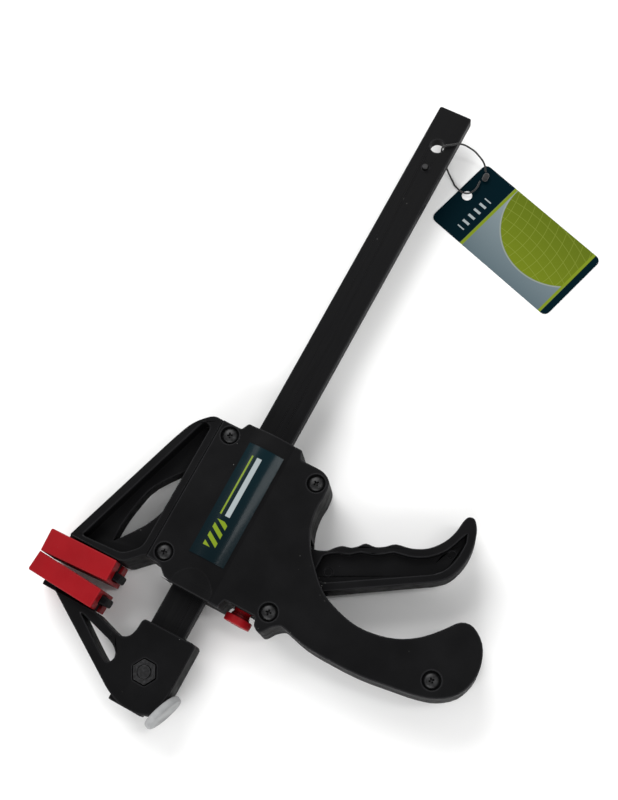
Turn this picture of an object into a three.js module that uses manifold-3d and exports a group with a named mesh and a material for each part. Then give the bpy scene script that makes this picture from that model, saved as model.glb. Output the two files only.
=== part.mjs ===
// One-handed ratchet bar clamp, lying on its side: +Y runs up the bar, +X to the handle, +Z is up.
// Millimetres. Everything is drawn about the bar's centre line, with y = 0 where the two pads meet,
// and the whole group is then moved so that its origin is the bottom centre of its bounding box.
import * as THREE from "three";
import { mergeVertices } from "three/addons/utils/BufferGeometryUtils.js";
import Module from "manifold-3d";

const wasm = await Module();
wasm.setup();

// ---- driving dimensions -------------------------------------------------------------------
const GAP = 0.3; // between pieces that touch
const BAR = { width: 17, thick: 6, bottom: -42, top: 283 };
const HANG_HOLE = { y: 262.5, r: 3.5 };
const STOP_PIN = { y: 249.5, r: 1.5, reach: 4.6 };
const BOLT = { x: 1, y: -24.5, r: 3, across: 10, nut: 3.7 };
const FIXED_HALF = 7; // half thickness of the fixed jaw
const ARM_HALF = 11.8; // half thickness over the arm's flanges
const ARM_WEB = 4; // half thickness of its web
const SHELL = { half: 12.5, floor: 2.6, wall: 2.3, left: -22.8, bottom: 20.2, top: 91 };
const BAND = { x: 2.2, halfWidth: 10.5, rise: 2.5, bottom: 15, top: 94.8 };
const COLLAR = { left: -11.5, right: 16.2 };
const TUNNEL_R = 12; // round bore that the drive spring lies in
const CHAMBER = { left: -13.3, bottom: 22.5, top: 87.6 };
const TANG = { right: -13.9, bottom: 22.8, top: 88.4, half: 9.6 };
const PAD = { left: -68, right: -33.6, half: 12 };
const TONGUE = { left: -65.5, right: -30, half: 5, neckHalf: 3.5 };
const PIVOT = { x: 34, y: 50, r: 2.5 };
const TRIGGER = { half: 7, web: 3, hub: 7, noseX: 13.5, noseY: 52.3, noseR: 3.2 };
const PLATE = { left: -13, right: 16, half: 9.4, thick: 2.5, y: 56 };
const BRAKE = { left: -13, y: 31, length: 44.5, half: 9, thick: 3, tilt: THREE.MathUtils.degToRad(5) };
const DRIVE_SPRING = { from: 61.8, to: 87.2, r: 10.6, wire: 0.7, turns: 6 };
const BRAKE_SPRING = { x: 18.5, top: 41.2, r: 3, wire: 0.45, turns: 5 };
const BUTTON = { left: 18.8, right: 32.2, bottom: 12.6, headTop: 16.2, neckL: 21.2, neckR: 30, half: 5 };
const LEDGE = { left: 18.2, right: 33.6, y: 19.3 };
const SCREWS = [[-16.8, 86], [-16.8, 25.5], [29.1, 84.2], [37.9, 23.6], [114, 30.7]];
const SCREW = { head: 3.6, recess: 4.25, floor: 10.7, shank: 1.5, bore: 1.8, boss: 5.3, tip: -9, tall: 1.5 };
const BUMPER = { x: 15.7, y: -35.9, r: 9.5, thick: 3.4, lean: -20 };
const TAG = { length: 76, width: 40, thick: 0.4, turn: -17, x: 52.8, y: 242.4, hole: 2.6 };
const STRING_D = 0.9;
const REST_Z = SHELL.half + BAND.rise; // height of the bar's centre above the floor

// ---- materials ------------------------------------------------------------------------------
const finish = (color, roughness, metalness = 0) =>
  new THREE.MeshStandardMaterial({ color, roughness, metalness });
const nylon = finish(0x1b1b1d, 0.62);
const blackSteel = finish(0x17171a, 0.42, 0.5);
const redPlastic = finish(0xb01622, 0.55);
const zincSteel = finish(0x9a9da0, 0.35, 0.9);
const springSteel = finish(0x6d7074, 0.35, 0.9);
const greySoft = finish(0xc9cacb, 0.6);
const stickerInk = finish(0x0b2a38, 0.2);
const card = finish(0xb4cf3a, 0.5);
const stringBlack = finish(0x101010, 0.8);

// ---- solids -----------------------------------------------------------------------------------
function solid(geometry) {
  const plain = geometry.index ? geometry.toNonIndexed() : geometry.clone();
  const bare = new THREE.BufferGeometry().setAttribute("position", plain.getAttribute("position"));
  const merged = mergeVertices(bare, 1e-4);
  return new wasm.Manifold(
    new wasm.Mesh({
      numProp: 3,
      vertProperties: new Float32Array(merged.attributes.position.array),
      triVerts: new Uint32Array(merged.index.array),
    }),
  );
}

function geometryOf(body) {
  const { vertProperties, triVerts } = body.getMesh();
  return new THREE.BufferGeometry()
    .setAttribute("position", new THREE.BufferAttribute(vertProperties, 3))
    .setIndex(new THREE.BufferAttribute(triVerts, 1));
}

const clamp = new THREE.Group();
clamp.name = "f_clamp";

function addPiece(name, body, material) {
  const geometry = geometryOf(body);
  geometry.computeVertexNormals();
  const mesh = new THREE.Mesh(geometry, material);
  mesh.name = name;
  clamp.add(mesh);
}

function box(x0, x1, y0, y1, z0, z1) {
  const geometry = new THREE.BoxGeometry(x1 - x0, y1 - y0, z1 - z0);
  return solid(geometry.translate((x0 + x1) / 2, (y0 + y1) / 2, (z0 + z1) / 2));
}

// A round bar along Z at (x, y).
function post(x, y, r, z0, z1, sides = 24) {
  const geometry = new THREE.CylinderGeometry(r, r, z1 - z0, sides).rotateX(Math.PI / 2);
  return solid(geometry.translate(x, y, (z0 + z1) / 2));
}

// A flat shape drawn in X and Y, raised from z0 to z1.
function slab(points, z0, z1) {
  const options = { depth: z1 - z0, bevelEnabled: false };
  return solid(new THREE.ExtrudeGeometry(new THREE.Shape(points), options).translate(0, 0, z0));
}

// The hexagon of a nut or bolt head, with flats this far apart and two corners across the bar.
function hexagon(x, y, across, z0, z1) {
  const reach = across / Math.sqrt(3);
  const points = [0, 60, 120, 180, 240, 300].map((degrees) => {
    const angle = THREE.MathUtils.degToRad(degrees);
    return new THREE.Vector2(x + reach * Math.cos(angle), y + reach * Math.sin(angle));
  });
  return slab(points, z0, z1);
}

// ---- outlines ---------------------------------------------------------------------------------
// Corners [x, y, radius], each rounded by a quadratic curve that starts one radius before it,
// or just under half way along a side that is too short for that.
function corners(list, closed = true) {
  const at = list.map(([x, y]) => new THREE.Vector2(x, y));
  return list.flatMap(([, , r], i) => {
    const ends = !closed && (i === 0 || i === list.length - 1);
    if (!r || ends) return [at[i]];
    const before = at[(i + at.length - 1) % at.length];
    const after = at[(i + 1) % at.length];
    const towards = (other) => {
      const reach = Math.min(r, 0.45 * at[i].distanceTo(other));
      return at[i].clone().add(other.clone().sub(at[i]).setLength(reach));
    };
    const [start, end] = [towards(before), towards(after)];
    return new THREE.QuadraticBezierCurve(start, at[i], end).getPoints(4);
  });
}

// A smooth run through points, with this many steps in each span.
function curve(list, steps = 4) {
  const points = list.map(([x, y]) => new THREE.Vector2(x, y));
  return new THREE.SplineCurve(points).getPoints(steps * (points.length - 1));
}

// The same run moved to its left-hand side (seen along its direction) by a distance.
function offset(run, distance) {
  return run.map((point, i) => {
    const along = run[Math.min(i + 1, run.length - 1)].clone().sub(run[Math.max(i - 1, 0)]);
    const side = new THREE.Vector2(-along.y, along.x).setLength(distance);
    return point.clone().add(side);
  });
}

// ---- bar ------------------------------------------------------------------------------------
function bar() {
  const half = BAR.width / 2;
  const outline = corners([
    [-half, BAR.bottom, 0.6], [half, BAR.bottom, 0.6], [half, BAR.top, 1.2], [-half, BAR.top, 1.2],
  ]);
  const through = BAR.thick;
  return slab(outline, -BAR.thick / 2, BAR.thick / 2)
    .subtract(post(0, HANG_HOLE.y, HANG_HOLE.r, -through, through, 28))
    .subtract(post(0, STOP_PIN.y, STOP_PIN.r + GAP / 3, -through, through, 16))
    .subtract(post(BOLT.x, BOLT.y, BOLT.r + GAP, -through, through));
}

const stopPin = () => post(0, STOP_PIN.y, STOP_PIN.r, -STOP_PIN.reach, STOP_PIN.reach, 16);

// ---- jaws -----------------------------------------------------------------------------------
// A jaw's tongue and neck, which the pad slides over. side is +1 on the sliding jaw.
function tongue(face, rootY, side) {
  const near = face + side * 4;
  const far = face + side * 7.9;
  const [low, high] = [Math.min(near, far), Math.max(near, far)];
  const [neckLow, neckHigh] = [Math.min(far - side, rootY), Math.max(far - side, rootY)];
  const blade = corners([
    [TONGUE.left, low, 1], [TONGUE.right, low, 1.2], [TONGUE.right, high, 1.2], [TONGUE.left, high, 1],
  ]);
  return slab(blade, -TONGUE.half, TONGUE.half).add(
    box(TONGUE.left + 4, PAD.right - 1, neckLow, neckHigh, -TONGUE.neckHalf, TONGUE.neckHalf),
  );
}

// A block that is toed in: its clamping face touches the other pad only at the outer end.
function pad(outerFace, innerFace, outerBack, innerBack, cavityFace, side) {
  const outline = corners([
    [PAD.left, outerBack, 1], [PAD.left + 0.6, outerFace, 0.5],
    [PAD.right + 0.3, innerFace, 0.5], [PAD.right, innerBack, 0.8],
  ]);
  const near = cavityFace + side * (4 - GAP);
  const far = cavityFace + side * (7.9 + GAP);
  const [low, high] = [Math.min(near, far), Math.max(near, far)];
  const back = cavityFace + side * 14;
  const [slotLow, slotHigh] = [Math.min(far, back), Math.max(far, back)];
  const half = TONGUE.half + GAP;
  const neck = TONGUE.neckHalf + GAP;
  return slab(outline, -PAD.half, PAD.half)
    .subtract(box(TONGUE.left - GAP, PAD.right + 9, low, high, -half, half))
    .subtract(box(TONGUE.left + 4 - GAP, PAD.right + 9, slotLow - 0.5, slotHigh, -neck, neck));
}

function fixedJaw() {
  const outline = corners([
    [-54.2, -11.9, 1], [-9.5, -38.9, 3], [-3, -41.4, 6], [6, -42.1, 5], [12.7, -39.6, 2],
    [15.7, -29, 4], [15.7, -3.7, 2.2], [-11.3, -4.2, 2], [-11.8, -13, 5], [-16.5, -16.4, 5],
    [-31.4, -12, 1.5], [-33, -11.95, 0.5],
  ]);
  const window = corners([
    [-38.6, -14.9, 2], [-17.6, -20.4, 4], [-13.6, -24.6, 3], [-15.6, -29, 2.6], [-20, -27, 4],
  ]);
  const channelX = BAR.width / 2 + GAP;
  const channelZ = BAR.thick / 2 + GAP;
  const pocket = BOLT.across + 0.8;
  const pocketFloor = FIXED_HALF - BOLT.nut + GAP;
  return slab(outline, -FIXED_HALF, FIXED_HALF)
    .add(tongue(0, -12.4, -1))
    .subtract(slab(window, -FIXED_HALF - 1, FIXED_HALF + 1))
    .subtract(box(-channelX, channelX, -60, 10, -channelZ, channelZ))
    .subtract(post(BOLT.x, BOLT.y, BOLT.r + GAP, -9, 9))
    .subtract(hexagon(BOLT.x, BOLT.y, pocket, pocketFloor, 9))
    .subtract(hexagon(BOLT.x, BOLT.y, pocket, -9, -pocketFloor));
}

function fixedJawBolt() {
  const seat = FIXED_HALF - BOLT.nut + 2 * GAP;
  return post(BOLT.x, BOLT.y, BOLT.r, -seat - 0.5, FIXED_HALF + 0.9).add(
    hexagon(BOLT.x, BOLT.y, BOLT.across, -seat - BOLT.nut, -seat),
  );
}

function fixedJawNut() {
  const seat = FIXED_HALF - BOLT.nut + 2 * GAP;
  return hexagon(BOLT.x, BOLT.y, BOLT.across, seat, seat + BOLT.nut).subtract(
    post(BOLT.x, BOLT.y, BOLT.r + 0.12, seat - 1, seat + BOLT.nut + 1),
  );
}

// A soft disc that stands on the fixed jaw's slanted lower corner.
function endBumper() {
  const half = BUMPER.thick / 2;
  const profile = [
    [0, -half], [BUMPER.r - 1.2, -half], [BUMPER.r, -half + 1], [BUMPER.r, half - 1.2],
    [BUMPER.r - 1.4, half], [0, half],
  ].map(([r, h]) => new THREE.Vector2(r, h));
  const disc = new THREE.LatheGeometry(profile, 36).rotateZ(-Math.PI / 2);
  disc.rotateZ(THREE.MathUtils.degToRad(BUMPER.lean));
  return solid(disc.translate(BUMPER.x, BUMPER.y, 0));
}

// The eye-shaped window of the arm.
function eye(z) {
  const left = curve([[-42.2, 19.8], [-42.4, 29], [-41, 40], [-38, 50.5], [-28.1, 64]], 3);
  const right = curve([[-28.1, 64], [-27.6, 53.5], [-28.5, 43.5], [-33, 32.5], [-42.2, 19.8]], 3);
  return slab([...left, ...right.slice(1, -1)], -z, z);
}

function slidingJaw() {
  const edge = SHELL.left - GAP;
  const outline = corners([
    [edge, 91], [-28.2, 91.2, 3], [-35.4, 84, 5], [-39.6, 73, 5], [-59.3, 12.3, 1],
    [-33.2, 12.6, 1], [-30.9, 13.3, 1], [-23.9, 20.2, 2], [edge, 20.2],
  ]);
  const recess = corners([
    [-26.8, 85.6, 2], [-30.6, 87, 2.4], [-35.2, 73, 4], [-54, 14.9, 1.5],
    [-33.4, 16.3, 3], [-26.8, 23, 3],
  ]);
  const tang = box(edge - 3, TANG.right, TANG.bottom, TANG.top, -TANG.half, TANG.half);
  let jaw = slab(outline, -ARM_HALF, ARM_HALF)
    .subtract(slab(recess, ARM_WEB, ARM_HALF + 1))
    .subtract(slab(recess, -ARM_HALF - 1, -ARM_WEB))
    .subtract(eye(ARM_HALF + 1))
    .add(tang)
    .add(tongue(0, 13, 1));
  for (const [x, y] of SCREWS.slice(0, 2)) jaw = jaw.subtract(post(x, y, 2.1, -13, 13, 16));
  return jaw;
}

// ---- housing --------------------------------------------------------------------------------
// The grip's outline from the lower ledge round the handle's end and up to the trigger's mouth.
const gripRun = curve([
  [47.5, 20.6], [58, 18.2], [71, 17.6], [85, 18], [99, 19.8], [111, 21.9], [119.5, 24.8],
  [126.6, 30.6], [129.9, 39], [129.6, 47], [126.2, 54.6], [119.8, 59.3], [114, 58.6], [109.2, 53],
  [102.8, 46], [95, 40.6], [86, 37.4], [75.5, 36.3], [65, 38.3], [55, 42.6], [46.8, 50.1],
  [40.4, 57.8], [36.5, 65.5], [34.9, 73.5], [35.2, 80],
], 3);

function shellOutline() {
  const lower = corners([
    [SHELL.left, SHELL.bottom], [-15.8, SHELL.bottom - 0.3, 1.5], [-11.6, 16, 1], [-7.5, BAND.bottom, 1],
    [COLLAR.right + 0.6, BAND.bottom, 0.8], [LEDGE.left - 0.2, LEDGE.y, 1], [LEDGE.right, LEDGE.y, 0.8],
    [35, 15.2, 1.5], [38.6, 13.2, 2.5], [42.2, 18.6, 2], [45.5, 20.9, 1.2], [47.5, 20.6],
  ], false);
  const upper = corners([
    [35.2, 80], [34.6, 87.6, 3.5], [29.6, 90.6, 3], [17.8, 90.6, 0.8], [COLLAR.right, BAND.top, 0.8],
    [COLLAR.left, BAND.top, 0.8], [-13.4, SHELL.top, 0.8], [SHELL.left, SHELL.top],
  ], false);
  return [...lower, ...gripRun.slice(1, -1), ...upper];
}

function chamberOutline() {
  const inner = offset(gripRun.slice(3), SHELL.wall);
  const start = corners([
    [CHAMBER.left, CHAMBER.bottom], [16, CHAMBER.bottom], [17, 22], [34, 22], [46, 24], [54, 22],
  ]);
  const end = corners([[32.6, 84.5, 1.5], [29, CHAMBER.top, 1.5], [CHAMBER.left, CHAMBER.top]], false);
  return [...start, ...inner, ...end];
}

// Cross-section of the raised band over the bar, an arc of a cylinder, run from y0 to y1.
function bandSlab(halfWidth, lift, base, y0, y1, steps = 10) {
  const r = (BAND.halfWidth ** 2 + BAND.rise ** 2) / (2 * BAND.rise);
  const centre = SHELL.half + BAND.rise - r;
  const half = Math.asin(halfWidth / r);
  const arc = [];
  for (let i = 0; i <= steps; i++) {
    const angle = half - (2 * half * i) / steps;
    const reach = r + lift;
    arc.push(new THREE.Vector2(BAND.x + reach * Math.sin(angle), centre + reach * Math.cos(angle)));
  }
  const under = base
    ? arc.map((point) => point.clone().sub(new THREE.Vector2(0, base))).reverse()
    : [new THREE.Vector2(arc.at(-1).x, 10), new THREE.Vector2(arc[0].x, 10)];
  const shape = new THREE.Shape([...arc, ...under]);
  const geometry = new THREE.ExtrudeGeometry(shape, { depth: y1 - y0, bevelEnabled: false });
  return solid(geometry.rotateX(Math.PI / 2).translate(0, y1, 0));
}

// The slanted cut at the band's lower end, which leaves a half-moon on its round top.
function bandCut() {
  const wedge = [[BAND.bottom - 1, 20], [BAND.bottom - 1, 12.9], [19, 12.9], [27.5, 15.6], [27.5, 20]];
  const shape = new THREE.Shape(wedge.map(([y, z]) => new THREE.Vector2(y, z)));
  const geometry = new THREE.ExtrudeGeometry(shape, { depth: 40, bevelEnabled: false });
  geometry.applyMatrix4(new THREE.Matrix4().set(0, 0, 1, BAND.x - 20, 1, 0, 0, 0, 0, 1, 0, 0, 0, 0, 0, 1));
  return solid(geometry);
}

// The mouth that the trigger swings in: the inner wall of the grip is open there.
function triggerMouth() {
  const outline = corners([[33, 61.5], [44, 61.5], [72, 46], [67.5, 37], [60, 33.5], [44, 34]]);
  return slab(outline, -1, TRIGGER.half + 1.2);
}

// One half of the housing, on the +Z side.
function halfShell(front) {
  const low = GAP / 2;
  const roof = SHELL.half - SHELL.floor;
  const barX = BAR.width / 2 + GAP;
  const barZ = BAR.thick / 2 + GAP;
  const buttonZ = BUTTON.half + GAP;
  const tangFloor = TANG.half + GAP;
  const tunnel = new THREE.CylinderGeometry(TUNNEL_R, TUNNEL_R, CHAMBER.top - CHAMBER.bottom, 40);
  let body = slab(shellOutline(), low, SHELL.half)
    .add(bandSlab(BAND.halfWidth, 0, 0, BAND.bottom, BAND.top))
    .subtract(bandCut())
    .subtract(slab(chamberOutline(), -1, roof))
    .subtract(solid(tunnel.translate(0, (CHAMBER.top + CHAMBER.bottom) / 2, 0)))
    .subtract(box(SHELL.left - 1, CHAMBER.left + 0.1, TANG.bottom - GAP, TANG.top + GAP, -1, tangFloor))
    .subtract(triggerMouth());
  body = body.add(shellBosses(low, roof));
  body = body
    .subtract(box(-barX, barX, 0, 110, -1, barZ))
    .subtract(box(BUTTON.neckL - GAP, BUTTON.neckR + GAP, LEDGE.y - 2, 23, -1, buttonZ))
    .subtract(post(PIVOT.x, PIVOT.y, PIVOT.r + 0.1, -1, roof - 0.2));
  for (const [x, y] of SCREWS) {
    body = front
      ? body.subtract(post(x, y, SCREW.bore, -1, 20, 16)).subtract(post(x, y, SCREW.recess, SCREW.floor, 20, 32))
      : body.subtract(post(x, y, SCREW.shank + 0.1, -1, -SCREW.tip + 0.5, 16));
  }
  return front ? body : body.mirror([0, 0, 1]);
}

// Screw bosses, the pivot's boss, the brake plate's fulcrum and the brake spring's shelf.
function shellBosses(low, roof) {
  const top = roof + 0.5;
  let bosses = post(PIVOT.x, PIVOT.y, 5, TRIGGER.half + 0.5, top, 24)
    .add(box(CHAMBER.left - 0.2, -9.6, 33.6, 36.5, 4, top))
    .add(box(14.5, 24.5, 41.6, 43.4, low, top));
  for (const [x, y] of SCREWS.slice(2)) bosses = bosses.add(post(x, y, SCREW.boss, low, top, 28));
  return bosses.add(box(24.4, 38, 41.6, 43.4, TRIGGER.half + 0.5, top));
}

function shellScrew(x, y) {
  const seat = SCREW.floor + 0.1;
  const profile = [
    [0, SCREW.tip], [SCREW.shank * 0.5, SCREW.tip], [SCREW.shank, SCREW.tip + 2], [SCREW.shank, seat],
    [SCREW.head, seat], [SCREW.head, seat + 0.6], [SCREW.head * 0.7, seat + SCREW.tall], [0, seat + SCREW.tall],
  ].map(([r, h]) => new THREE.Vector2(r, h));
  return solid(new THREE.LatheGeometry(profile, 20).rotateX(Math.PI / 2).translate(x, y, 0));
}

const shellLabel = () => bandSlab(8.7, 0.35, 0.3, 30.9, 87, 10);

// ---- trigger --------------------------------------------------------------------------------
function trigger() {
  const fingers = curve([
    [43, 58.4], [47, 60.3], [49.4, 63], [52.1, 65.3], [55.8, 66.4], [58.4, 68.4], [60.9, 71.1],
    [65.5, 71.7], [69.4, 74], [73, 77], [80, 78.5], [86.5, 81.9], [91.5, 87.8], [94, 94], [94.8, 99.6],
    [96, 102.6], [98.4, 103.3], [100.4, 101.6], [102.6, 97.6], [104, 91], [103.8, 83.2], [101, 75],
    [96.4, 70.2], [90, 66],
  ], 3);
  const body = [...corners([[PIVOT.x - 2, 44], [PIVOT.x - 2, 56], [38, 57.6]]), ...fingers,
    ...corners([[54.8, 43.6], [50, 41.8, 2], [42, 43.4]])];
  const panel = [
    ...curve([
      [46.5, 57.2], [48.6, 59.6], [52.4, 61.8], [56.6, 63.2], [60.8, 66.6], [65.6, 67.9], [70.6, 70.8], [74, 73.3],
      [81, 74.8], [88.4, 78.4], [94.4, 85], [97.6, 92.8], [99, 95.6],
    ], 2),
    ...curve([[100.2, 92], [100, 85], [98, 77.8], [94.4, 73.2], [89, 69.6]], 2),
    ...corners([[89, 69.6], [51.6, 46.4, 1.5], [46.5, 47.4, 1.5], [46.5, 57.2]], false).slice(1, -1),
  ];
  const arm = corners([
    [PIVOT.x, 44.5, 1], [PIVOT.x, 56.5, 1], [TRIGGER.noseX, TRIGGER.noseY + 3], [11, 50.5], [12.6, 48.9],
  ]);
  const deep = TRIGGER.half + 1;
  return slab(body, -TRIGGER.half, TRIGGER.half)
    .subtract(slab(panel, TRIGGER.web, deep))
    .subtract(slab(panel, -deep, -TRIGGER.web))
    .subtract(ejectorMarks())
    .add(post(PIVOT.x, PIVOT.y, TRIGGER.hub, -TRIGGER.half, TRIGGER.half, 36))
    .add(slab(arm, -6, 6))
    .add(post(TRIGGER.noseX, TRIGGER.noseY, TRIGGER.noseR, -6, 6))
    .subtract(post(PIVOT.x, PIVOT.y, PIVOT.r + 0.15, -9, 9, 28));
}

// Two shallow round marks in the web, where the mould's ejector pins stood.
function ejectorMarks() {
  const [root, tip] = [[51.5, 52.4], [97, 85]].map(([x, y]) => post(x, y, 1.9, TRIGGER.web - 0.3, TRIGGER.half, 20));
  return root.add(tip);
}

const pivotPin = () => post(PIVOT.x, PIVOT.y, PIVOT.r, -9.4, 9.4, 28);

// ---- plates, springs and button ------------------------------------------------------------
function drivePlate(index) {
  const y0 = PLATE.y + index * (PLATE.thick + GAP);
  const x = BAR.width / 2 + 0.4;
  const z = BAR.thick / 2 + 0.4;
  return box(PLATE.left, PLATE.right, y0, y0 + PLATE.thick, -PLATE.half, PLATE.half).subtract(
    box(-x, x, y0 - 1, y0 + PLATE.thick + 1, -z, z),
  );
}

// Drawn square to the bar with its left end at the origin, then tilted about that end.
function brakePlate() {
  const middle = -BRAKE.left;
  const x = BAR.width / 2 + 0.5;
  const z = BAR.thick / 2 + 0.5;
  const half = BRAKE.thick / 2;
  const plate = box(0, BRAKE.length, -half, half, -BRAKE.half, BRAKE.half).subtract(
    box(middle - x, middle + x, -half - 1, half + 1, -z, z),
  );
  const placed = new THREE.Matrix4()
    .makeRotationZ(-BRAKE.tilt)
    .setPosition(BRAKE.left, BRAKE.y, 0);
  return solid(geometryOf(plate).applyMatrix4(placed));
}

// Height of the tilted brake plate's lower or upper face at x.
function brakeFace(x, side) {
  const fall = (x - BRAKE.left) * Math.tan(BRAKE.tilt);
  return BRAKE.y - fall + (side * BRAKE.thick) / (2 * Math.cos(BRAKE.tilt));
}

// A coil along Y with flat dead turns left out.
function coil(x, y0, y1, r, wire, turns, steps, sides) {
  const points = [];
  const count = turns * steps;
  for (let i = 0; i <= count; i++) {
    const angle = (2 * Math.PI * i) / steps;
    const y = y0 + wire + ((y1 - y0 - 2 * wire) * i) / count;
    points.push(new THREE.Vector3(x + r * Math.cos(angle), y, r * Math.sin(angle)));
  }
  return tube(points, wire, sides, count);
}

function tube(points, radius, sides, steps) {
  const section = [];
  for (let i = 0; i < sides; i++) {
    const angle = (2 * Math.PI * i) / sides;
    section.push(new THREE.Vector2(radius * Math.cos(angle), radius * Math.sin(angle)));
  }
  const path = new THREE.CatmullRomCurve3(points, false, "centripetal");
  return solid(new THREE.ExtrudeGeometry(new THREE.Shape(section), { steps, extrudePath: path }));
}

function brakeSpring() {
  const { x, top, r, wire, turns } = BRAKE_SPRING;
  return coil(x, brakeFace(x - r, 1) + GAP, top, r, wire, turns, 12, 6);
}

function driveSpring() {
  const { from, to, r, wire, turns } = DRIVE_SPRING;
  return coil(0, from, to, r, wire, turns, 16, 6);
}

function releaseButton() {
  const { left, right, bottom, headTop, neckL, neckR, half } = BUTTON;
  const middle = (neckL + neckR) / 2;
  const head = corners([[left, bottom, 0.8], [right, bottom, 0.8], [right, headTop, 0.8], [left, headTop, 0.8]]);
  const tip = brakeFace(middle, -1) - 0.4;
  const pusher = corners([[middle - 3, 22, 0.1], [middle + 3, 22, 0.1], [middle + 1.5, tip, 1], [middle - 1.5, tip, 1]]);
  return slab(head, -6, 6)
    .add(box(neckL, neckR, headTop - 1, 23.2, -half, half))
    .add(box(neckL - 1.6, neckR + 1.6, 23.2, 24.4, -half - 1.6, half + 1.6))
    .add(slab(pusher, -2.5, 2.5));
}

// ---- hang tag ---------------------------------------------------------------------------------
const tagFrame = new THREE.Matrix4()
  .makeRotationZ(THREE.MathUtils.degToRad(TAG.turn))
  .setPosition(TAG.x, TAG.y, -REST_Z);
const tagHoleAt = new THREE.Vector3(-TAG.length / 2 + 5, 0.8, 0).applyMatrix4(tagFrame);

function tag() {
  const [l, w] = [TAG.length / 2, TAG.width / 2];
  const outline = corners([[-l, -w, 3], [l, -w, 3], [l, w, 3], [-l, w, 3]]);
  const sheet = slab(outline, 0.02, 0.02 + TAG.thick).subtract(post(-l + 5, 0.8, TAG.hole, -1, 2));
  return solid(geometryOf(sheet).applyMatrix4(tagFrame));
}

// The string's route: out of the bead, over the bar's edge, down through the hang hole, back
// under the bar, under the tag's edge and up through the tag's hole to the bead.
const LOCK = new THREE.Vector3(25.6, 265.2, -REST_Z + 1.9);
function stringRoute() {
  const hang = HANG_HOLE.y;
  const floor = -REST_Z + 0.8;
  return [
    [LOCK.x - 1.2, LOCK.y + 2.4, LOCK.z + 0.4], [22.6, 269.6, -9.6], [19, 270.4, -5], [14.6, 269.6, 0.6],
    [9.6, hang + 5.4, 4], [6.4, hang + 3.2, 4.3], [3.2, hang + 0.9, 4], [2.4, hang + 0.3, 2.2],
    [2.3, hang, 0], [2.4, hang - 0.2, -2.2], [3.1, hang - 0.7, -4.1], [5.2, hang - 2, -7.6],
    [8.4, 258.6, -12], [11.6, 256.6, floor], [14.2, 254.6, floor + 0.2],
    [tagHoleAt.x - 0.6, tagHoleAt.y + 0.4, floor + 0.9],
    [tagHoleAt.x + 2.4, tagHoleAt.y + 3.6, floor + 1.4],
    [LOCK.x - 1.6, LOCK.y - 3, LOCK.z - 0.2],
  ].map(([x, y, z]) => new THREE.Vector3(x, y, z));
}

function stringLock() {
  const bead = new THREE.CapsuleGeometry(1.5, 1.6, 4, 14);
  return solid(bead.translate(LOCK.x, LOCK.y, LOCK.z));
}

// ---- assembly ---------------------------------------------------------------------------------
addPiece("bar", bar(), blackSteel);
addPiece("bar_stop_pin", stopPin(), blackSteel);
addPiece("fixed_jaw", fixedJaw(), nylon);
addPiece("fixed_jaw_bolt", fixedJawBolt(), blackSteel);
addPiece("fixed_jaw_nut", fixedJawNut(), blackSteel);
addPiece("fixed_jaw_pad", pad(-0.15, -2.2, -9.8, -11.6, 0, -1), redPlastic);
addPiece("end_bumper", endBumper(), greySoft);
addPiece("sliding_jaw", slidingJaw(), nylon);
addPiece("sliding_jaw_pad", pad(0.15, 2, 11.2, 12.1, 0, 1), redPlastic);
addPiece("front_shell", halfShell(true), nylon);
addPiece("rear_shell", halfShell(false), nylon);
SCREWS.forEach(([x, y], i) => addPiece("shell_screw_" + (i + 1), shellScrew(x, y), blackSteel));
addPiece("shell_label", shellLabel(), stickerInk);
addPiece("trigger", trigger(), nylon);
addPiece("trigger_pivot_pin", pivotPin(), zincSteel);
addPiece("drive_plate_1", drivePlate(0), zincSteel);
addPiece("drive_plate_2", drivePlate(1), zincSteel);
addPiece("drive_spring", driveSpring(), springSteel);
addPiece("brake_plate", brakePlate(), zincSteel);
addPiece("brake_spring", brakeSpring(), springSteel);
addPiece("release_button", releaseButton(), redPlastic);
addPiece("tag", tag(), card);
addPiece("tag_string", tube(stringRoute(), STRING_D / 2, 8, 60), stringBlack);
addPiece("string_lock", stringLock(), stringBlack);

// The origin goes to the bottom centre of the object without its tag.
const own = new THREE.Box3();
const tagged = ["tag", "tag_string", "string_lock"];
clamp.children.filter((mesh) => !tagged.includes(mesh.name)).forEach((mesh) => own.expandByObject(mesh));
clamp.position.set(-(own.min.x + own.max.x) / 2, -(own.min.y + own.max.y) / 2, REST_Z);

export default clamp;
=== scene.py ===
"""A one-handed bar clamp with its hang tag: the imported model, dressed for rendering.

Lengths in the tables are millimetres in the design frame, where x runs across the bar from its
middle, y runs along the bar from the closed pads and z rises from the bar's mid-plane. at() turns
them into metres in the row frame.
"""

import math
import random

import bmesh
import bpy
from mathutils import Matrix, Vector


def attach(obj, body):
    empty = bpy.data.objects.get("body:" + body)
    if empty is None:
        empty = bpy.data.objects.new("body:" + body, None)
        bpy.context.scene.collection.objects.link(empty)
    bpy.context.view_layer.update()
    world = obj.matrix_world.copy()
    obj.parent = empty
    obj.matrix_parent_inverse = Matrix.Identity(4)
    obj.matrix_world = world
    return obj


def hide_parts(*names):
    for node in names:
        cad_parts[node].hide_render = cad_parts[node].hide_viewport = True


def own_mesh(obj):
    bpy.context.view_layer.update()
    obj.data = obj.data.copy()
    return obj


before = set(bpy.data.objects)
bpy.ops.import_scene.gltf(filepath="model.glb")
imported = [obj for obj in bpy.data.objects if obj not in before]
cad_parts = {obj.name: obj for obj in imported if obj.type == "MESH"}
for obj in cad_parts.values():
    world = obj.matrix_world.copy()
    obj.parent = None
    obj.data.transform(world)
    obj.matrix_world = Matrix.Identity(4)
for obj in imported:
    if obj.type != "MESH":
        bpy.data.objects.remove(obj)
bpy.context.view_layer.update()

MM = 0.001
ORIGIN = Vector((-31.118, -119.001, 15.0))  # the design frame's origin in the row frame, mm

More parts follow.
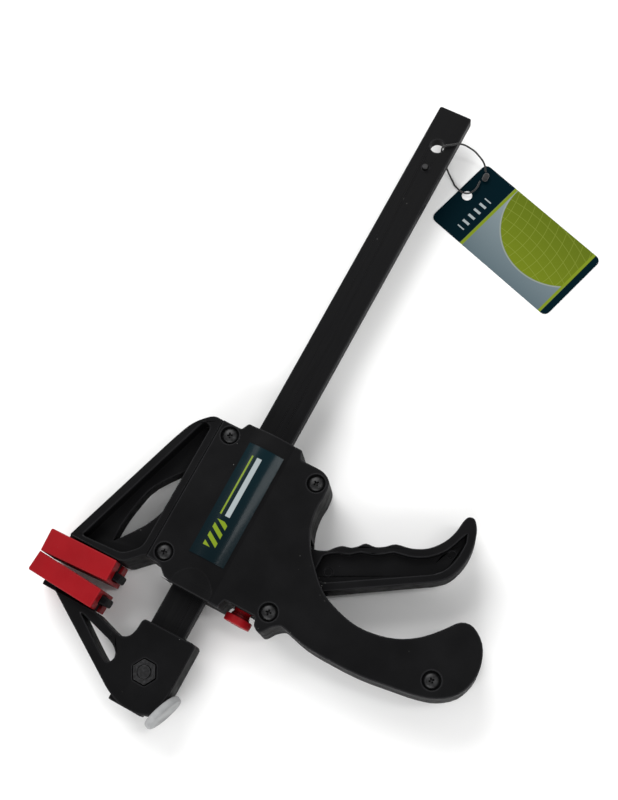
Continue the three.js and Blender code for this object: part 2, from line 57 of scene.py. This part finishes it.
# ---- camera and light ---------------------------------------------------------------------
CAMERA_AT = (0.1054, -0.1366, 0.6085)
CAMERA_TURN = (17.141, 4.857, 28.369)  # degrees, XYZ
CAMERA_LENS = 59.95
FLOOR_SIZE = 10.0
WORLD_STRENGTH = 0.5
# name, size (x, y), watts, position, aim
LIGHTS = [
    ("key_light", (1.0, 1.0), 16.0, (-0.8, 0.7, 1.0), (0, 0, 0)),
    ("overhead_strip", (0.14, 0.5), 2.2, (0.42, 0.15, 1.05), (0, 0, 0)),
    ("front_fill", (1.2, 0.5), 11.0, (0.1, -1.1, 0.8), (0, 0, 0)),
]

# ---- sizes, mm ----------------------------------------------------------------------------
BAND_X, BAND_HALF, BAND_RISE, SHELL_HALF = 2.2, 10.5, 2.5, 12.5
LABEL_HALF, LABEL_LOW, LABEL_HIGH, LABEL_LIFT = 8.7, 30.9, 87.0, 0.35
TAG_SIZE, TAG_THICK, TAG_TURN, TAG_CENTRE = (76.0, 40.0), 0.4, -17.0, (52.8, 242.4)
TAG_HOLE, TAG_HOLE_R, TAG_CORNER = (-33.0, 0.8), 2.6, 3.0
TAG_Z = -14.98
STRING_D, STRING_LENGTH = 0.9, 0.075  # mm, and metres along the string
STRING_ROUTE = [
    (24.4, 267.6, -12.7), (22.6, 269.6, -9.6), (19, 270.4, -5), (14.6, 269.6, 0.6), (9.6, 267.9, 4),
    (6.4, 265.7, 4.3), (3.2, 263.4, 4), (2.4, 262.8, 2.2), (2.3, 262.5, 0), (2.4, 262.3, -2.2),
    (3.1, 261.8, -4.1), (5.2, 260.5, -7.6), (8.4, 258.6, -12), (11.6, 256.6, -14.2),
    (14.2, 254.6, -14.0), (20.88, 253.21, -13.3), (23.88, 256.41, -12.8), (24.0, 262.2, -13.3),
]
SCREWS = [(-16.8, 86), (-16.8, 25.5), (29.1, 84.2), (37.9, 23.6), (114, 30.7)]
SCREW_SEAT, SCREW_HEAD, SCREW_TALL, SCREW_SHANK, SCREW_TIP = 10.8, 3.6, 1.5, 1.5, -9.0
BUMPER_AT, BUMPER_R, BUMPER_THICK, BUMPER_LEAN = (15.7, -35.9, 0), 9.5, 3.4, -20
BUTTON_X, BUTTON_BASE, BUTTON_R, BUTTON_TIP = 25.6, 12.6, 6.4, 25.7


def at(x, y, z):
    """A point of the design frame, in metres in the row frame."""
    return (Vector((x, y, z)) + ORIGIN) * MM


# ---- shader nodes -------------------------------------------------------------------------
class Shader:
    """A material's node tree, with short calls for the nodes that these materials use."""

    def __init__(self, name):
        self.material = bpy.data.materials.new(name)
        self.material.use_nodes = True
        self.tree = self.material.node_tree
        self.surface = self.tree.nodes["Principled BSDF"]
        self.coords = self.tree.nodes.new("ShaderNodeTexCoord").outputs["Object"]

    def put(self, socket, value):
        """Sets an input, or links an output to it."""
        if isinstance(value, bpy.types.NodeSocket):
            self.tree.links.new(value, socket)
        else:
            socket.default_value = value

    def set(self, **inputs):
        for name, value in inputs.items():
            self.put(self.surface.inputs[name.replace("_", " ")], value)

    def math(self, operation, a, b=0.0, c=0.0, clamp=False):
        node = self.tree.nodes.new("ShaderNodeMath")
        node.operation, node.use_clamp = operation, clamp
        for socket, value in zip(node.inputs, (a, b, c)):
            self.put(socket, value)
        return node.outputs[0]

    def noise(self, scale, detail=3.0, rough=0.5, coords=None):
        node = self.tree.nodes.new("ShaderNodeTexNoise")
        self.put(node.inputs["Vector"], coords or self.coords)
        node.inputs["Scale"].default_value = scale
        node.inputs["Detail"].default_value = detail
        node.inputs["Roughness"].default_value = rough
        return node.outputs["Fac"]

    def cells(self, scale):
        node = self.tree.nodes.new("ShaderNodeTexVoronoi")
        self.put(node.inputs["Vector"], self.coords)
        node.inputs["Scale"].default_value = scale
        return node.outputs["Distance"]

    def ramp(self, value, low, high, start=0.0, end=1.0):
        """value, remapped from low..high to start..end and held there outside."""
        node = self.tree.nodes.new("ShaderNodeMapRange")
        for socket, given in zip(node.inputs, (value, low, high, start, end)):
            self.put(socket, given)
        return node.outputs[0]

    def mix(self, share, a, b):
        node = self.tree.nodes.new("ShaderNodeMix")
        node.data_type = "RGBA"
        self.put(node.inputs["Factor"], share)
        self.put(node.inputs["A"], a)
        self.put(node.inputs["B"], b)
        return node.outputs["Result"]

    def stretched(self, sx, sy, sz):
        node = self.tree.nodes.new("ShaderNodeMapping")
        self.put(node.inputs["Vector"], self.coords)
        node.inputs["Scale"].default_value = (sx, sy, sz)
        return node.outputs["Vector"]

    def local(self, centre, turn):
        """The object's coordinates in millimetres about a centre, turned by so many degrees."""
        node = self.tree.nodes.new("ShaderNodeMapping")
        node.vector_type = "TEXTURE"
        self.put(node.inputs["Vector"], self.coords)
        node.inputs["Location"].default_value = centre
        node.inputs["Rotation"].default_value = (0, 0, math.radians(turn))
        node.inputs["Scale"].default_value = (MM, MM, MM)
        split = self.tree.nodes.new("ShaderNodeSeparateXYZ")
        self.tree.links.new(node.outputs["Vector"], split.inputs[0])
        return split.outputs["X"], split.outputs["Y"]

    def bump(self, height, distance, strength=1.0):
        node = self.tree.nodes.new("ShaderNodeBump")
        self.put(node.inputs["Height"], height)
        node.inputs["Distance"].default_value = distance
        node.inputs["Strength"].default_value = strength
        return node.outputs["Normal"]

    def nearness(self, distance, inside):
        """1 close to a convex edge if inside, or else in a corner between faces, and 0 on the open."""
        node = self.tree.nodes.new("ShaderNodeAmbientOcclusion")
        node.samples, node.inside, node.only_local = 6, inside, True
        node.inputs["Distance"].default_value = distance
        return self.math("SUBTRACT", 1.0, node.outputs["AO"])

    def dust(self, fineness, speck, patchiness, patch, share):
        """How dusty a spot is: small specks of a size range speck, only in patches of noise."""
        specks = self.ramp(self.cells(fineness), *speck, 1, 0)
        sparse = self.ramp(self.noise(patchiness, 2), *patch)
        return self.math("MULTIPLY", self.math("MULTIPLY", specks, sparse), share)


def colour(red, green, blue):
    """A display colour of 0 to 255 as a linear RGBA value."""
    def linear(value):
        value /= 255
        return value / 12.92 if value <= 0.04045 else ((value + 0.055) / 1.055) ** 2.4
    return (linear(red), linear(green), linear(blue), 1.0)


LIME_PRINT, PALE_PRINT = colour(112, 132, 30), colour(150, 158, 160)


def moulded(name, dark, light, rough, gloss=0.045, grain=0.00003, dust=0.3,
            highlight_and_wear_colour=colour(70, 70, 72), highlight_and_wear_share=0.5):
    """Moulded plastic: spark-eroded grain, slightly uneven gloss, convex edges lightened as a painted
    highlight with some wear, painted shade in the corners between faces, and a little dust.
    """
    s = Shader(name)
    cloud = s.noise(60, 4)
    dusty = s.dust(420, (0.05, 0.09), 35, (0.6, 0.66), dust)
    body = s.mix(s.ramp(cloud, 0.35, 0.7), dark, light)
    # Painted highlight with some wear: convex edges are lightened towards a paler colour.
    body = s.mix(s.ramp(s.nearness(0.0007, True), 0.06, 0.4, 0, highlight_and_wear_share), body, highlight_and_wear_colour)
    # Painted shade: corners and crevices between faces are darkened to near black.
    body = s.mix(s.ramp(s.nearness(0.0012, False), 0.05, 0.45, 0, 0.85), body, colour(3, 3, 3))
    s.set(
        Base_Color=s.mix(dusty, body, colour(190, 190, 186)),
        Roughness=s.ramp(s.noise(180, 3), 0.3, 0.7, rough - 0.06, rough + 0.08),
        Specular_IOR_Level=gloss,
        Normal=s.bump(s.noise(2600, 2), grain),
    )
    return s.material


def painted_steel():
    """Satin black bar: fine scratches along it, convex edges lightened as a painted highlight with some
    wear, and a little dust.
    """
    s = Shader("bar_black")
    streaks = s.noise(1.0, 4, 0.6, s.stretched(1400, 40, 1400))
    dusty = s.dust(300, (0.04, 0.08), 28, (0.58, 0.66), 0.4)
    body = s.mix(s.ramp(streaks, 0.4, 0.9), colour(11, 11, 12), colour(18, 18, 19))
    # Painted highlight with some wear: convex edges are lightened to a pale grey.
    body = s.mix(s.ramp(s.nearness(0.0007, True), 0.06, 0.4, 0, 0.6), body, colour(74, 74, 76))
    s.set(
        Base_Color=s.mix(dusty, body, colour(170, 170, 168)),
        Roughness=s.ramp(streaks, 0.3, 0.7, 0.36, 0.5),
        Specular_IOR_Level=0.05,
        Normal=s.bump(s.noise(1100, 3), 0.00003, 0.8),
    )
    return s.material


def bare_steel(name, tone, worn, rough, metallic=0.9):
    """Plated or oiled steel with fine grinding marks, brighter where it is worn."""
    s = Shader(name)
    marks = s.noise(900, 3, 0.6)
    s.set(
        Base_Color=s.mix(s.ramp(marks, 0.45, 0.75), tone, worn),
        Metallic=metallic,
        Roughness=s.ramp(marks, 0.3, 0.7, rough, rough + 0.15),
        Normal=s.bump(marks, 0.00002, 0.5),
    )
    return s.material


def soft_rubber():
    """Pale grey, slightly grubby soft plastic."""
    s = Shader("grey_soft_plastic")
    smudge = s.noise(160, 4)
    s.set(
        Base_Color=s.mix(s.ramp(smudge, 0.35, 0.7), colour(156, 157, 158), colour(136, 137, 138)),
        Roughness=s.ramp(smudge, 0.3, 0.7, 0.5, 0.65),
        Subsurface_Weight=0.08,
        Subsurface_Radius=(0.001, 0.001, 0.001),
        Normal=s.bump(s.noise(1500, 3), 0.00003),
    )
    return s.material


def band(s, value, low, high, soft=0.08):
    """1 where value lies between low and high, with an edge soft millimetres wide."""
    rise = s.ramp(value, low - soft, low + soft)
    fall = s.ramp(value, high - soft, high + soft, 1, 0)
    return s.math("MULTIPLY", rise, fall)


def label_film():
    """Glossy printed film: a dark teal ground, plain stripes and a row of slanted blocks."""
    s = Shader("label_film")
    u, v = s.local(at(BAND_X, (LABEL_LOW + LABEL_HIGH) / 2, 0), 0)
    ground = s.mix(s.ramp(v, -28, 28), colour(3, 18, 23), colour(5, 26, 32))
    slant = s.math("PINGPONG", s.math("ADD", v, s.math("MULTIPLY", u, 0.6)), 2.2)
    blocks = s.math("MULTIPLY", s.ramp(slant, 1.0, 1.12), band(s, u, -4.6, 1.4))
    blocks = s.math("MULTIPLY", blocks, band(s, v, -22.5, -9.5))
    stripe = s.math("MULTIPLY", band(s, u, -4.6, -3.8), band(s, v, -7, 23))
    rule = s.math("MULTIPLY", band(s, u, -1.9, 0.5), band(s, v, -7, 23))
    print_ = s.mix(rule, ground, PALE_PRINT)
    print_ = s.mix(stripe, print_, LIME_PRINT)
    s.set(
        Base_Color=s.mix(blocks, print_, LIME_PRINT),
        Roughness=s.ramp(s.noise(90, 3), 0.3, 0.7, 0.2, 0.28),
        Specular_IOR_Level=0.06,
        Coat_Weight=0.08,
        Coat_Roughness=0.1,
        Normal=s.bump(s.noise(110, 2), 0.0001, 0.5),
    )
    return s.material


def printed_card():
    """The tag's print: a teal head, a lime disc with fine curved rules on a grey ground, a teal foot."""
    s = Shader("printed_card")
    u, v = s.local(at(*TAG_CENTRE, TAG_Z), TAG_TURN)
    ground = s.mix(s.ramp(s.math("ADD", v, s.noise(14, 2)), -20, 12), colour(84, 98, 104),
                   colour(120, 132, 136))
    away = s.math("SQRT", s.math("ADD", s.math("POWER", s.math("SUBTRACT", u, 13.5), 2),
                                 s.math("POWER", s.math("SUBTRACT", v, 19.0), 2)))
    disc = s.ramp(away, 29.7, 29.9, 1, 0)
    rim = band(s, away, 29.9, 30.4, 0.2)
    lime = s.mix(s.ramp(v, -12, 18), colour(102, 116, 26), colour(86, 100, 24))
    sweep = s.math("ADD", u, s.math("MULTIPLY", s.math("POWER", v, 2), 0.012))
    across = s.math("ADD", v, s.math("MULTIPLY", s.math("POWER", u, 2), 0.006))
    lines = s.math("MAXIMUM", s.ramp(s.math("PINGPONG", sweep, 2.6), 0.1, 0.2, 1, 0),
                   s.ramp(s.math("PINGPONG", across, 2.6), 0.1, 0.2, 1, 0))
    lime = s.mix(s.math("MULTIPLY", lines, 0.45), lime, colour(128, 140, 60))
    art = s.mix(rim, s.mix(disc, ground, lime), colour(136, 142, 134))
    art = s.mix(band(s, u, -18.2, -16.6), art, colour(112, 128, 32))
    art = s.mix(band(s, u, 33.2, 34.6), art, colour(112, 128, 32))
    teal = colour(2, 22, 29)
    art = s.mix(s.ramp(u, 34.6, 34.7), art, teal)
    art = s.mix(s.ramp(u, -18.3, -18.2, 1, 0), art, teal)
    bars = s.math("MULTIPLY", s.ramp(s.math("PINGPONG", v, 2.0), 1.3, 1.4), band(s, u, -25.5, -21.5))
    bars = s.math("MULTIPLY", bars, band(s, v, -14.0, 6.0))
    art = s.mix(bars, art, PALE_PRINT)
    s.set(
        Base_Color=art,
        Roughness=s.ramp(s.noise(70, 3), 0.3, 0.7, 0.4, 0.5),
        Specular_IOR_Level=0.012,
        Normal=s.bump(s.noise(60, 3), 0.0002, 0.4),
    )
    return s.material


def braided_string():
    s = Shader("string_black")
    twist = s.noise(1800, 3)
    s.set(
        Base_Color=s.mix(twist, colour(14, 14, 14), colour(42, 42, 42)),
        Roughness=0.85,
        Sheen_Weight=0.3,
        Normal=s.bump(twist, 0.0001),
    )
    return s.material


def floor_paper():
    s = Shader("floor_paper")
    s.set(
        Base_Color=s.mix(s.noise(3, 2), colour(244, 244, 243), colour(248, 248, 248)),
        Roughness=0.9,
    )
    return s.material


# ---- mesh helpers -------------------------------------------------------------------------
def new_piece(name, mesh, material):
    piece = bpy.data.objects.new(name, mesh)
    bpy.context.scene.collection.objects.link(piece)
    mesh.materials.clear()
    mesh.materials.append(material)
    return piece


def mesh_from(bm, name):
    mesh = bpy.data.meshes.new(name)
    bm.normal_update()
    bm.to_mesh(mesh)
    bm.free()
    return mesh


def smooth_by_angle(bm, degrees, top_degrees=None):
    """Smooth shading, with edges sharper than so many degrees kept crisp. Edges on the faces that
    look up have a limit of their own, where a shallow crease has to show."""
    bm.normal_update()
    for face in bm.faces:
        face.smooth = True
    for edge in bm.edges:
        up = all(face.normal.z > 0.3 for face in edge.link_faces)
        limit = math.radians(top_degrees if up and top_degrees else degrees)
        edge.smooth = len(edge.link_faces) == 2 and edge.calc_face_angle(0) < limit


def round_edges(piece, width, segments=2, degrees=32):
    bevel = piece.modifiers.new("rounded_edges", "BEVEL")
    bevel.width = width * MM
    bevel.segments = segments
    bevel.limit_method = "ANGLE"
    bevel.angle_limit = math.radians(degrees)
    bevel.use_clamp_overlap = False
    bevel.harden_normals = True
    bevel.miter_outer = "MITER_ARC"


def dress(node, body, slot, material, width=0.4, segments=2, degrees=32,
          top_degrees=None, merge_flats=True):
    """Stands a copy of a CAD node, with rounded edges and its own material, in the node's place."""
    bm = bmesh.new()
    bm.from_mesh(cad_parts[node].data)
    bmesh.ops.remove_doubles(bm, verts=bm.verts, dist=0.00002)
    bmesh.ops.dissolve_degenerate(bm, dist=0.00003, edges=bm.edges)
    if merge_flats:
        bmesh.ops.dissolve_limit(bm, angle_limit=math.radians(1.5), verts=bm.verts, edges=bm.edges)
    smooth_by_angle(bm, degrees, top_degrees)
    piece = new_piece(node + "_finished", mesh_from(bm, node + "_finished"), material)
    if width:
        round_edges(piece, width, segments, degrees)
    return place(piece, body, slot, node)


def place(piece, body, slot, *nodes):
    """Hangs a piece on the body it rides on and hides the CAD nodes it stands for. slot is not used."""
    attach(piece, body)
    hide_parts(*nodes)
    return piece


def lathe(bm, profile, frame_of, steps=40):
    """A closed turned body about the local z axis of frame_of, a matrix of the design frame. profile
    is (radius, z) in mm, from the axis at one end to the axis at the other."""
    rings = []
    for radius, z in profile:
        spots = [(0, 0)] if radius == 0 else [
            (radius * math.cos(2 * math.pi * i / steps), radius * math.sin(2 * math.pi * i / steps))
            for i in range(steps)
        ]
        rings.append([bm.verts.new(at(*(frame_of @ Vector((u, v, z))))) for u, v in spots])
    for low, high in zip(rings, rings[1:]):
        for i in range(steps):
            j = (i + 1) % steps
            corners = [low[i % len(low)], low[j % len(low)], high[j % len(high)], high[i % len(high)]]
            bm.faces.new(list(dict.fromkeys(corners)))
    return rings


def release_button(material):
    """The round push button: a broad head, a stepped neck and a tip that reaches the brake plate."""
    profile = [(0, BUTTON_BASE)]
    profile += rounded_rim(BUTTON_R, BUTTON_BASE, 0.5, -90) + rounded_rim(BUTTON_R, 16.2, 0.5, 0)
    profile += [(4.5, 16.2), (4.5, 17.2), (4.3, 17.4), (4.0, 17.4), (4.0, 23.2), (5.8, 23.2), (5.8, 24.4)]
    profile += [(2.4, 24.4), (1.6, BUTTON_TIP - 0.4), (1.0, BUTTON_TIP), (0, BUTTON_TIP)]
    bm = bmesh.new()
    lathe(bm, profile, Matrix.Translation((BUTTON_X, 0, 0)) @ Matrix.Rotation(-math.pi / 2, 4, "X"), 56)
    smooth_by_angle(bm, 40)
    piece = new_piece("release_button_finished", mesh_from(bm, "release_button_finished"), material)
    return place(piece, "release_button", "red_plastic", "release_button")


def rounded_rim(radius, height, edge, start):
    """Profile points of a rim's quarter round: start -90 for the lower one, 0 for the upper one."""
    centre = height + edge if start else height - edge
    return [(radius - edge + edge * math.cos(math.radians(start + 15 * step)),
             centre + edge * math.sin(math.radians(start + 15 * step))) for step in range(7)]


def end_bumper(material):
    """The soft disc on the fixed jaw's slanted corner, dished a little on its outer face."""
    half = BUMPER_THICK / 2
    profile = [(0, -half)] + rounded_rim(BUMPER_R, -half, 1.1, -90) + rounded_rim(BUMPER_R, half, 1.1, 0)
    profile += [(BUMPER_R * 0.6, half - 0.25), (BUMPER_R * 0.3, half - 0.35), (0, half - 0.35)]
    turn = Matrix.Rotation(math.radians(BUMPER_LEAN), 4, "Z") @ Matrix.Rotation(math.pi / 2, 4, "Y")
    bm = bmesh.new()
    lathe(bm, profile, Matrix.Translation(BUMPER_AT) @ turn, 64)
    smooth_by_angle(bm, 60)
    piece = new_piece("end_bumper_finished", mesh_from(bm, "end_bumper_finished"), material)
    return place(piece, "root", "grey_soft", "end_bumper")


def cross_tool(x, y, top, turn):
    """The Phillips recess as a solid: two tapered blades."""
    bm = bmesh.new()
    for quarter in (0, math.pi / 2):
        spin = Matrix.Rotation(turn + quarter, 3, "Z")
        loop = []
        for z, reach, half in ((top - 1.5, 0.5, 0.25), (top + 0.5, 1.75, 0.45)):
            ring = [(-reach, -half), (reach, -half), (reach, half), (-reach, half)]
            loop.append([bm.verts.new(at(*(spin @ Vector((u, v, 0)) + Vector((x, y, z))))) for u, v in ring])
        low, high = loop
        bm.faces.new(low[::-1])
        bm.faces.new(high)
        for i in range(4):
            j = (i + 1) % 4
            bm.faces.new([low[i], low[j], high[j], high[i]])
    return mesh_from(bm, "cross_tool")


def shell_screw(index, material):
    """A pan-head self-tapping screw with a cross recess and a threaded shank."""
    x, y = SCREWS[index]
    seat, top = SCREW_SEAT, SCREW_SEAT + SCREW_TALL
    profile = [(0, SCREW_TIP), (0.6, SCREW_TIP + 0.4)]
    pitch, z = 1.3, SCREW_TIP + 1.4
    while z < seat - 1.5:
        profile += [(1.15, z), (1.15, z + 0.5 * pitch), (SCREW_SHANK, z + 0.75 * pitch)]
        z += pitch
    profile += [(1.15, seat - 0.5), (1.15, seat), (SCREW_HEAD - 0.15, seat), (SCREW_HEAD, seat + 0.25)]
    for step in range(7):
        angle = math.radians(12 + step * 13)
        profile.append((SCREW_HEAD * math.cos(angle), seat + 0.1 + (SCREW_TALL - 0.1) * math.sin(angle)))
    profile.append((0, top))
    bm = bmesh.new()
    lathe(bm, profile, Matrix.Translation((x, y, 0)))
    smooth_by_angle(bm, 40)
    name = f"shell_screw_{index + 1}_finished"
    piece = new_piece(name, mesh_from(bm, name), material)
    tool = new_piece("cross_tool", cross_tool(x, y, top, random.uniform(0, 1.5)), material)
    cut = piece.modifiers.new("cross_recess", "BOOLEAN")
    cut.operation, cut.object, cut.solver = "DIFFERENCE", tool, "EXACT"
    cut.use_self = True
    settle(piece)
    bpy.data.objects.remove(tool)
    return place(piece, "carriage", "screw_black", f"shell_screw_{index + 1}")


def settle(piece):
    """Puts the result of the piece's modifiers into its own mesh."""
    evaluated = piece.evaluated_get(bpy.context.evaluated_depsgraph_get())
    made = bpy.data.meshes.new_from_object(evaluated)
    piece.modifiers.clear()
    piece.data = made


def spring(node, body, slot, material):
    """A coil with a fixed top end, copied from its CAD node without rounded edges and given a mesh of its
    own.
    """
    piece = dress(node, body, slot, material, width=0)
    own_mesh(piece)
    return piece


def label(material):
    """The printed film: a strip that follows the band's round top."""
    radius = (BAND_HALF**2 + BAND_RISE**2) / (2 * BAND_RISE)
    centre = SHELL_HALF + BAND_RISE - radius
    half = math.asin(LABEL_HALF / radius)
    bm = bmesh.new()
    columns, rows = 24, 12
    layers = []
    for lift in (0.05, LABEL_LIFT):
        grid = []
        for row in range(rows + 1):
            y = LABEL_LOW + (LABEL_HIGH - LABEL_LOW) * row / rows
            line = []
            for column in range(columns + 1):
                angle = half * (2 * column / columns - 1)
                reach = radius + lift
                line.append(bm.verts.new(at(BAND_X + reach * math.sin(angle), y,
                                            centre + reach * math.cos(angle))))
            grid.append(line)
        layers.append(grid)
    close_sheet(bm, *layers)
    smooth_by_angle(bm, 50)
    piece = new_piece("shell_label_finished", mesh_from(bm, "shell_label_finished"), material)
    return place(piece, "carriage", "sticker", "shell_label")


def close_sheet(bm, under, over):
    """Faces for a thin sheet, from its under and over grids of vertices."""
    rows, columns = len(over) - 1, len(over[0]) - 1
    for row in range(rows):
        for column in range(columns):
            for grid, flip in ((over, False), (under, True)):
                quad = [grid[row][column], grid[row][column + 1],
                        grid[row + 1][column + 1], grid[row + 1][column]]
                bm.faces.new(quad[::-1] if flip else quad)
    rim = [(0, c) for c in range(columns)] + [(r, columns) for r in range(rows)]
    rim += [(rows, c) for c in range(columns, 0, -1)] + [(r, 0) for r in range(rows, 0, -1)]
    for (r0, c0), (r1, c1) in zip(rim, rim[1:] + rim[:1]):
        bm.faces.new([under[r0][c0], under[r1][c1], over[r1][c1], over[r0][c0]])


def hang_tag(material):
    """The card with its rounded corners and its hole."""
    length, width = TAG_SIZE
    turn = Matrix.Rotation(math.radians(TAG_TURN), 3, "Z")
    middle = Vector((*TAG_CENTRE, TAG_Z))
    outline = []
    for sx, sy, start in ((1, -1, -90), (1, 1, 0), (-1, 1, 90), (-1, -1, 180)):
        for step in range(5):
            angle = math.radians(start + 22.5 * step)
            outline.append((sx * (length / 2 - TAG_CORNER) + TAG_CORNER * math.cos(angle),
                            sy * (width / 2 - TAG_CORNER) + TAG_CORNER * math.sin(angle)))
    hole = [(TAG_HOLE[0] + TAG_HOLE_R * math.cos(2 * math.pi * i / 32),
             TAG_HOLE[1] + TAG_HOLE_R * math.sin(2 * math.pi * i / 32)) for i in range(32)]
    bm = bmesh.new()
    loops = []
    for ring in (outline, hole):
        verts = [bm.verts.new(at(*(turn @ Vector((u, v, 0)) + middle))) for u, v in ring]
        loops += [bm.edges.new((a, b)) for a, b in zip(verts, verts[1:] + verts[:1])]
    bmesh.ops.triangle_fill(bm, edges=loops, use_beauty=True, normal=(0, 0, 1))
    up = bmesh.ops.extrude_face_region(bm, geom=list(bm.faces))
    raised = [item for item in up["geom"] if isinstance(item, bmesh.types.BMVert)]
    bmesh.ops.translate(bm, verts=raised, vec=(0, 0, TAG_THICK * MM))
    bmesh.ops.recalc_face_normals(bm, faces=bm.faces)
    piece = new_piece("hang_tag", mesh_from(bm, "hang_tag"), material)
    round_edges(piece, 0.08, 1, 50)
    return place(piece, "root", "printed_card", "tag")


def tag_string(material):
    """The string's closed-looking loop, from the lock through the bar and the tag and back."""
    data = bpy.data.curves.new("tag_string_finished", "CURVE")
    data.dimensions = "3D"
    data.bevel_depth = STRING_D / 2 * MM
    data.bevel_resolution = 3
    data.resolution_u = 6
    line = data.splines.new("BEZIER")
    line.bezier_points.add(len(STRING_ROUTE) - 1)
    for point, spot in zip(line.bezier_points, STRING_ROUTE):
        point.co = at(*spot)
        point.handle_left_type = point.handle_right_type = "AUTO"
    piece = bpy.data.objects.new("tag_string_finished", data)
    bpy.context.scene.collection.objects.link(piece)
    data.materials.append(material)
    place(piece, "root", "string", "tag_string")
    return piece


# ---- the scene ----------------------------------------------------------------------------
def add_camera():
    data = bpy.data.cameras.new("camera")
    data.lens, data.sensor_width, data.sensor_fit = CAMERA_LENS, 36.0, "AUTO"
    data.clip_start, data.clip_end = 0.01, 20.0
    data.dof.use_dof = False
    camera = bpy.data.objects.new("camera", data)
    camera.location = CAMERA_AT
    camera.rotation_euler = [math.radians(angle) for angle in CAMERA_TURN]
    bpy.context.scene.collection.objects.link(camera)
    bpy.context.scene.camera = camera


def add_light(name, size, watts, spot, aim):
    data = bpy.data.lights.new(name, "AREA")
    data.shape, data.size, data.size_y, data.energy = "RECTANGLE", *size, watts
    light = bpy.data.objects.new(name, data)
    light.location = spot
    light.rotation_euler = (Vector(aim) - Vector(spot)).to_track_quat("-Z", "Y").to_euler()
    bpy.context.scene.collection.objects.link(light)


def add_stage():
    bpy.context.scene.view_settings.view_transform = "Standard"
    bm = bmesh.new()
    bmesh.ops.create_grid(bm, x_segments=8, y_segments=8, size=FLOOR_SIZE / 2)
    floor = new_piece("floor", mesh_from(bm, "floor"), floor_paper())
    world = bpy.data.worlds.new("soft_room")
    world.use_nodes = True
    background = world.node_tree.nodes["Background"]
    background.inputs["Color"].default_value = (1, 1, 1, 1)
    background.inputs["Strength"].default_value = WORLD_STRENGTH
    bpy.context.scene.world = world
    for light in LIGHTS:
        add_light(*light)


def add_bar_and_fixed_jaw():
    nylon = moulded("jaw_plastic", colour(10, 10, 11), colour(15, 15, 16), 0.5)
    steel = bare_steel("blackened_steel", colour(20, 20, 21), colour(44, 44, 46), 0.34, 0.5)
    dress("bar", "root", "black_steel", painted_steel(), 0.4, 2, merge_flats=False)
    dress("bar_stop_pin", "root", "black_steel", steel, 0.3, 2)
    dress("fixed_jaw", "root", "jaw_nylon", nylon, 0.5, 3, merge_flats=False)
    dress("fixed_jaw_bolt", "root", "black_steel", steel, 0.3, 2)
    dress("fixed_jaw_nut", "root", "black_steel", steel, 0.3, 2)
    end_bumper(soft_rubber())
    return nylon


def add_pads():
    # The last two values give the pads' painted edge highlight, with some wear, and its share.
    red = moulded("pad_red", colour(128, 10, 18), colour(138, 14, 22), 0.42, 0.1, 0.00001, 0.1,
                  colour(176, 60, 66), 0.4)
    dress("fixed_jaw_pad", "root", "red_plastic", red, 0.5, 3)
    dress("sliding_jaw_pad", "carriage", "red_plastic", red, 0.5, 3)
    release_button(red)


def add_carriage(nylon):
    housing = moulded("housing_plastic", colour(11, 11, 12), colour(17, 17, 18), 0.52)
    dress("sliding_jaw", "carriage", "jaw_nylon", nylon, 0.5, 3, merge_flats=False)
    dress("front_shell", "carriage", "shell_nylon", housing, 0.35, 3, top_degrees=9)
    dress("rear_shell", "carriage", "shell_nylon", housing, 0.35, 3)
    dress("trigger", "trigger", "shell_nylon", housing, 0.4, 3, merge_flats=False)
    label(label_film())


def add_mechanism():
    screw_steel = bare_steel("screw_black", colour(15, 15, 16), colour(38, 38, 40), 0.34, 0.45)
    for index in range(len(SCREWS)):
        shell_screw(index, screw_steel)
    plated = bare_steel("plated_steel", colour(140, 142, 146), colour(160, 162, 166), 0.28)
    wire = bare_steel("spring_wire", colour(110, 113, 118), colour(140, 142, 146), 0.28)
    dress("trigger_pivot_pin", "carriage", "zinc_steel", plated, 0.3, 2)
    dress("drive_plate_1", "drive_plates", "zinc_steel", plated, 0.25, 2)
    dress("drive_plate_2", "drive_plates", "zinc_steel", plated, 0.25, 2)
    dress("brake_plate", "brake_plate", "zinc_steel", plated, 0.25, 2)
    spring("drive_spring", "carriage", "spring_steel", wire)
    spring("brake_spring", "carriage", "spring_steel", wire)


def add_tag():
    black = braided_string()
    hang_tag(printed_card())
    lock = dress("string_lock", "root", "string_lock", black, 0)
    tag_string(black)


random.seed(7)
add_camera()
add_tag()
add_stage()
jaw_plastic = add_bar_and_fixed_jaw()
add_pads()
add_carriage(jaw_plastic)
add_mechanism()
